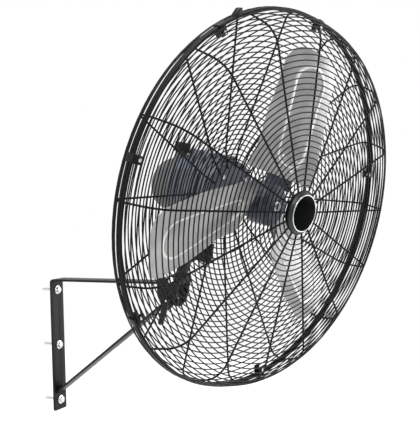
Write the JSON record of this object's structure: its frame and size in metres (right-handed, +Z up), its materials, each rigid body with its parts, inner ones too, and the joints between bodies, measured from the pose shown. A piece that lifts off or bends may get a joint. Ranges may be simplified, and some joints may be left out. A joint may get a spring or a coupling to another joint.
{
  "type": "wall mounted fan",
  "caption": "Oscillating industrial fan on a flat-bar wall bracket: wire guards, sheet blades, round motor with gear case, pan and tilt joints.",
  "frame": {"origin": "middle wall bolt, on the bracket's rear face where it meets the wall", "axes": "+Z up, -Y out from the wall the way the fan blows, +X across the wall"},
  "size_m": [0.7592, 0.8014, 0.8776],
  "materials": {
    "bar": "satin",
    "cast": "satin",
    "zinc": "satin",
    "steel": "polished",
    "core": "matte",
    "copper": "satin",
    "motor": "satin",
    "cover": "satin",
    "box": "satin",
    "wire": "gloss",
    "cap": "gloss",
    "blade": "satin",
    "hub": "satin",
    "nylon": "matte"
  },
  "bodies": {
    "bracket": {"wall_bracket": "bar", "brace_strut": "bar", "wall_bolts": "zinc", "wall_washers": "zinc", "clamp_casting": "cast", "clamp_screws": "zinc", "clamp_nuts": "zinc", "tilt_bolt": "zinc", "tilt_nut": "zinc", "lock_bolt": "zinc"},
    "lever": {"lock_lever": "cast"},
    "tilt_head": {"tilt_neck": "cast", "tilt_quadrant": "zinc"},
    "fan_head": {"pan_pin": "steel", "pan_nut": "zinc", "thrust_washer": "zinc", "motor_saddle": "cast", "front_bell": "motor", "motor_shell": "motor", "stator_core": "core", "stator_windings": "copper", "rear_bell": "motor", "front_bearing": "steel", "rear_bearing": "steel", "gear_cover": "cover", "wiring_box": "box", "box_lid": "box", "lid_screws": "zinc", "cord_gland": "cover", "guard_plate": "wire", "guard_plate_screws": "zinc", "rear_guard": "wire", "front_guard": "wire", "guard_clips": "wire", "clip_screws": "zinc", "clip_nuts": "zinc", "cap_plate": "wire", "hub_cap": "cap", "cap_disc": "cap", "cap_screws": "zinc"},
    "impeller": {"motor_shaft": "steel", "rotor_core": "core", "worm": "steel", "impeller_hub": "hub", "blade_1": "blade", "blade_2": "blade", "blade_3": "blade", "blade_rivets": "zinc", "hub_nut": "zinc"},
    "worm_gear": {"worm_wheel": "nylon"},
    "crank_set": {"gear_spindle": "steel", "crank": "cover", "crank_pin": "steel"},
    "link": {"link_arm": "hub"},
    "knob": {"clutch_knob": "cover"}
  },
  "joints": [
    {"name": "tilt", "type": "hinge", "parent": "bracket", "child": "tilt_head", "pos_m": [0, -0.35, 0.168], "axis": [1, 0, 0], "range_deg": [-13.2, 10.8]},
    {"name": "pan", "type": "hinge", "parent": "tilt_head", "child": "fan_head", "pos_m": [0, -0.44743, 0.36444], "axis": [0, -0.2284, 0.9736], "range_deg": [-23.9, 56.1]},
    {"name": "spin", "type": "hinge", "parent": "fan_head", "child": "impeller", "pos_m": [-0.03899, -0.57895, 0.33359], "axis": [-0.2773, -0.9354, -0.2194], "continuous": true},
    {"name": "wheel_spin", "type": "hinge", "parent": "fan_head", "child": "worm_gear", "pos_m": [0.00534, -0.34517, 0.38843], "axis": [0, -0.2284, 0.9736], "continuous": true},
    {"name": "crank_turn", "type": "hinge", "parent": "fan_head", "child": "crank_set", "pos_m": [0.00534, -0.34517, 0.38843], "axis": [0, -0.2284, 0.9736], "range_deg": [-112.2, 47.8]},
    {"name": "link_pivot", "type": "hinge", "parent": "crank_set", "child": "link", "pos_m": [-0.01319, -0.35037, 0.38721], "axis": [0, -0.2284, 0.9736], "range_deg": [-47.8, 112.2]},
    {"name": "clutch_pull", "type": "slide", "parent": "fan_head", "child": "knob", "axis": [0, -0.2284, 0.9736], "range_m": [0, 0.008]},
    {"name": "lock_turn", "type": "hinge", "parent": "bracket", "child": "lever", "pos_m": [-0.0385, -0.336, 0.125], "axis": [1, 0, 0], "range_deg": [-60, 60]}
  ],
  "couplings": [
    {"joint": "wheel_spin", "follows": "spin", "ratio": 0.033333},
    {"joint": "crank_turn", "follows": "pan", "ratio": -2},
    {"joint": "link_pivot", "follows": "pan", "ratio": 2}
  ]
}
